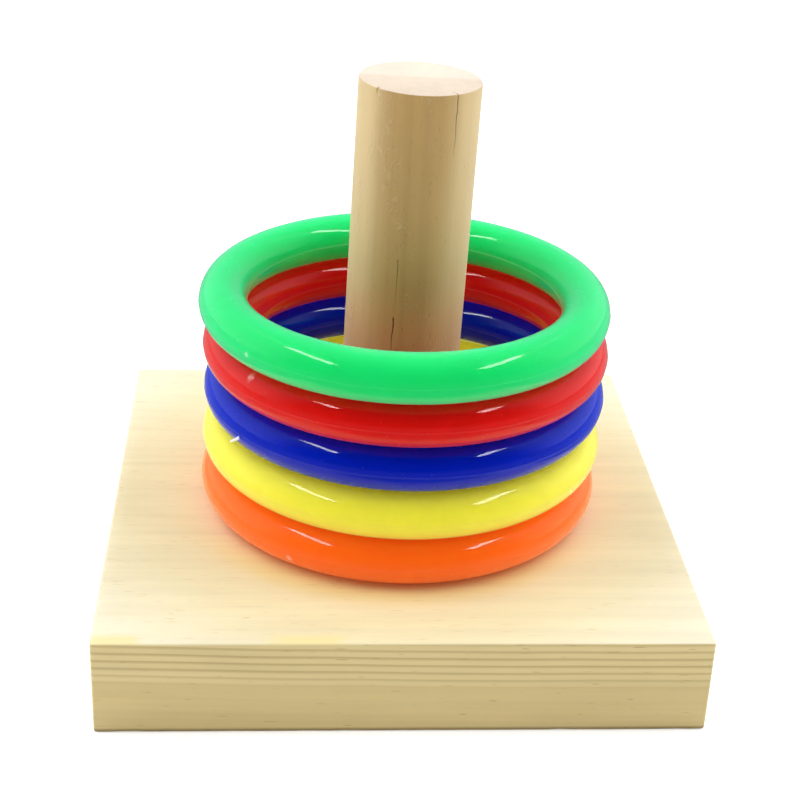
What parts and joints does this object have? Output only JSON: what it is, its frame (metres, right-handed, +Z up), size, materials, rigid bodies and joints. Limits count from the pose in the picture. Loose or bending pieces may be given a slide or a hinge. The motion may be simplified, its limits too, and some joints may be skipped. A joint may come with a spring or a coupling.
{
  "type": "ring stacking toy",
  "caption": "Square wooden block with one upright round peg and loose, equal, brightly coloured plastic rings stacked on it, each of which lifts off the top.",
  "frame": {"origin": "centre of the block's underside", "axes": "+Z up along the peg, +X to the right and +Y to the back of the square block"},
  "size_m": [0.1, 0.1, 0.0952],
  "materials": {
    "board": "bare sanded pale softwood",
    "dowel": "bare sanded dowel",
    "screw_steel": "bright zinc plate",
    "orange_plastic": "glossy moulded",
    "yellow_plastic": "glossy moulded",
    "blue_plastic": "glossy moulded",
    "red_plastic": "glossy moulded",
    "green_plastic": "glossy moulded"
  },
  "bodies": {
    "base": {"base_block": "board", "peg": "dowel", "peg_screw": "screw_steel"},
    "orange": {"ring_orange": "orange_plastic"},
    "yellow": {"ring_yellow": "yellow_plastic"},
    "blue": {"ring_blue": "blue_plastic"},
    "red": {"ring_red": "red_plastic"},
    "green": {"ring_green": "green_plastic"}
  },
  "joints": [
    {"name": "orange_lift", "type": "slide", "parent": "base", "child": "orange", "axis": [0, 0, 1], "range_m": [0, 0.08]},
    {"name": "yellow_lift", "type": "slide", "parent": "orange", "child": "yellow", "axis": [0, 0, 1], "range_m": [0, 0.0715]},
    {"name": "blue_lift", "type": "slide", "parent": "yellow", "child": "blue", "axis": [0, 0, 1], "range_m": [0, 0.063]},
    {"name": "red_lift", "type": "slide", "parent": "blue", "child": "red", "axis": [0, 0, 1], "range_m": [0, 0.0545]},
    {"name": "green_lift", "type": "slide", "parent": "red", "child": "green", "axis": [0, 0, 1], "range_m": [0, 0.046]}
  ]
}
